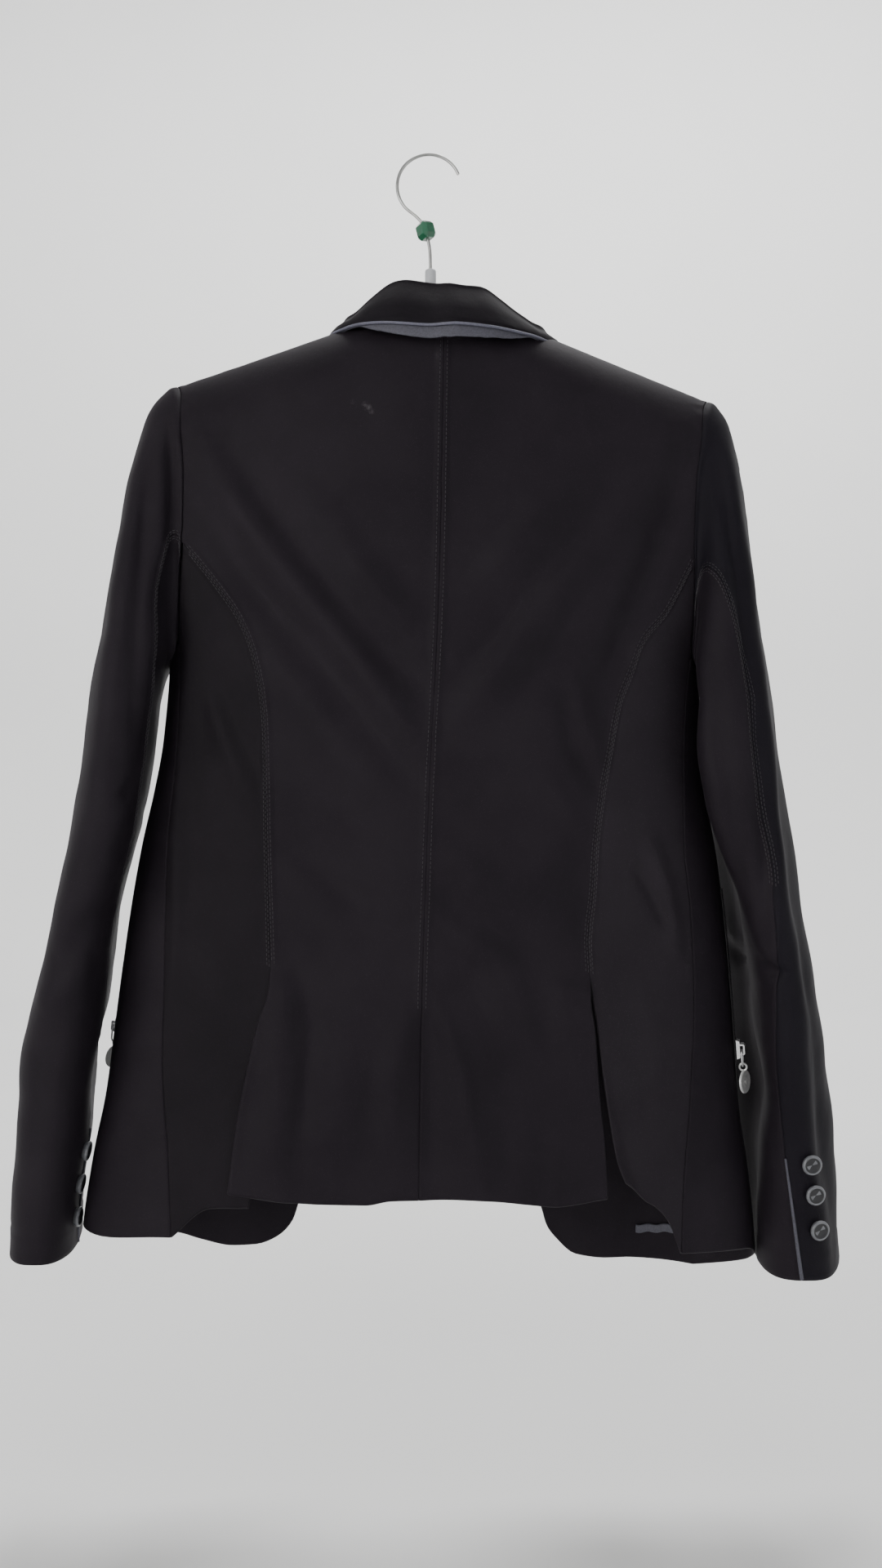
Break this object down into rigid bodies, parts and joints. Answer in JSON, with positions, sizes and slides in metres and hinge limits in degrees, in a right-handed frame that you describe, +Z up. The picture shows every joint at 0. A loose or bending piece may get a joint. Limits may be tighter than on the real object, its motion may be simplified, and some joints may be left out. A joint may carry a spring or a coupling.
{
  "type": "riding jacket on a hanger",
  "caption": "Fitted riding jacket hanging on a wire hanger, with two-piece sleeves, a vented back, a buttoned cutaway front and a piped fold-down collar.",
  "frame": {"origin": "inside top of the hanger's hook, where it rests on a rail", "axes": "+Z up, the jacket's back faces -Y and its left sleeve is at -X"},
  "size_m": [0.625, 0.1286, 0.8437],
  "materials": {
    "black_cloth": "matt black softshell",
    "grey_trim": "pale grey under-collar cloth and piping",
    "grey_button": "dark grey, lighter on the rim",
    "steel": "polished",
    "hook_steel": "bright wire",
    "hanger_grey": "pale grey",
    "green_bead": "faceted, dark green"
  },
  "bodies": {
    "root": {"back_left": "black_cloth", "side_back_left": "black_cloth", "front_left": "black_cloth", "sleeve_top_left": "black_cloth", "sleeve_under_left": "black_cloth", "lapel_left": "black_cloth", "cuff_piping_left": "grey_trim", "cuff_button_left_1": "grey_button", "cuff_button_left_2": "grey_button", "cuff_button_left_3": "grey_button", "zip_tape_left": "black_cloth", "zip_slider_left": "steel", "back_right": "black_cloth", "side_back_right": "black_cloth", "front_right": "black_cloth", "sleeve_top_right": "black_cloth", "sleeve_under_right": "black_cloth", "lapel_right": "black_cloth", "cuff_piping_right": "grey_trim", "cuff_button_right_1": "grey_button", "cuff_button_right_2": "grey_button", "cuff_button_right_3": "grey_button", "zip_tape_right": "black_cloth", "zip_slider_right": "steel", "collar_top": "black_cloth", "collar_under": "grey_trim", "collar_piping": "grey_trim", "inner_strip": "grey_trim", "front_button_1": "grey_button", "front_button_2": "grey_button", "front_button_3": "grey_button", "hanger_hook": "hook_steel", "hanger_bead": "green_bead", "hanger_arms": "hanger_grey", "hanger_ferrule": "hanger_grey"},
    "ring_left": {"zip_ring_left": "steel"},
    "drop_left": {"zip_drop_left": "steel"},
    "ring_right": {"zip_ring_right": "steel"},
    "drop_right": {"zip_drop_right": "steel"}
  },
  "joints": [
    {"name": "zip_ring_left", "type": "hinge", "parent": "root", "child": "ring_left", "pos_m": [-0.23662, 0.01322, -0.65351], "axis": [0.4786, 0.878, 0], "range_deg": [0, 9]},
    {"name": "zip_drop_left", "type": "hinge", "parent": "ring_left", "child": "drop_left", "pos_m": [-0.23766, 0.01378, -0.66405], "axis": [0.4786, 0.878, 0], "range_deg": [-8, 2]},
    {"name": "zip_ring_right", "type": "hinge", "parent": "root", "child": "ring_right", "pos_m": [0.23148, -0.00963, -0.66661], "axis": [-0.302, -0.9533, 0], "range_deg": [0, 9]},
    {"name": "zip_drop_right", "type": "hinge", "parent": "ring_right", "child": "drop_right", "pos_m": [0.23213, -0.00983, -0.67719], "axis": [-0.302, -0.9533, 0], "range_deg": [-8, 2]}
  ]
}
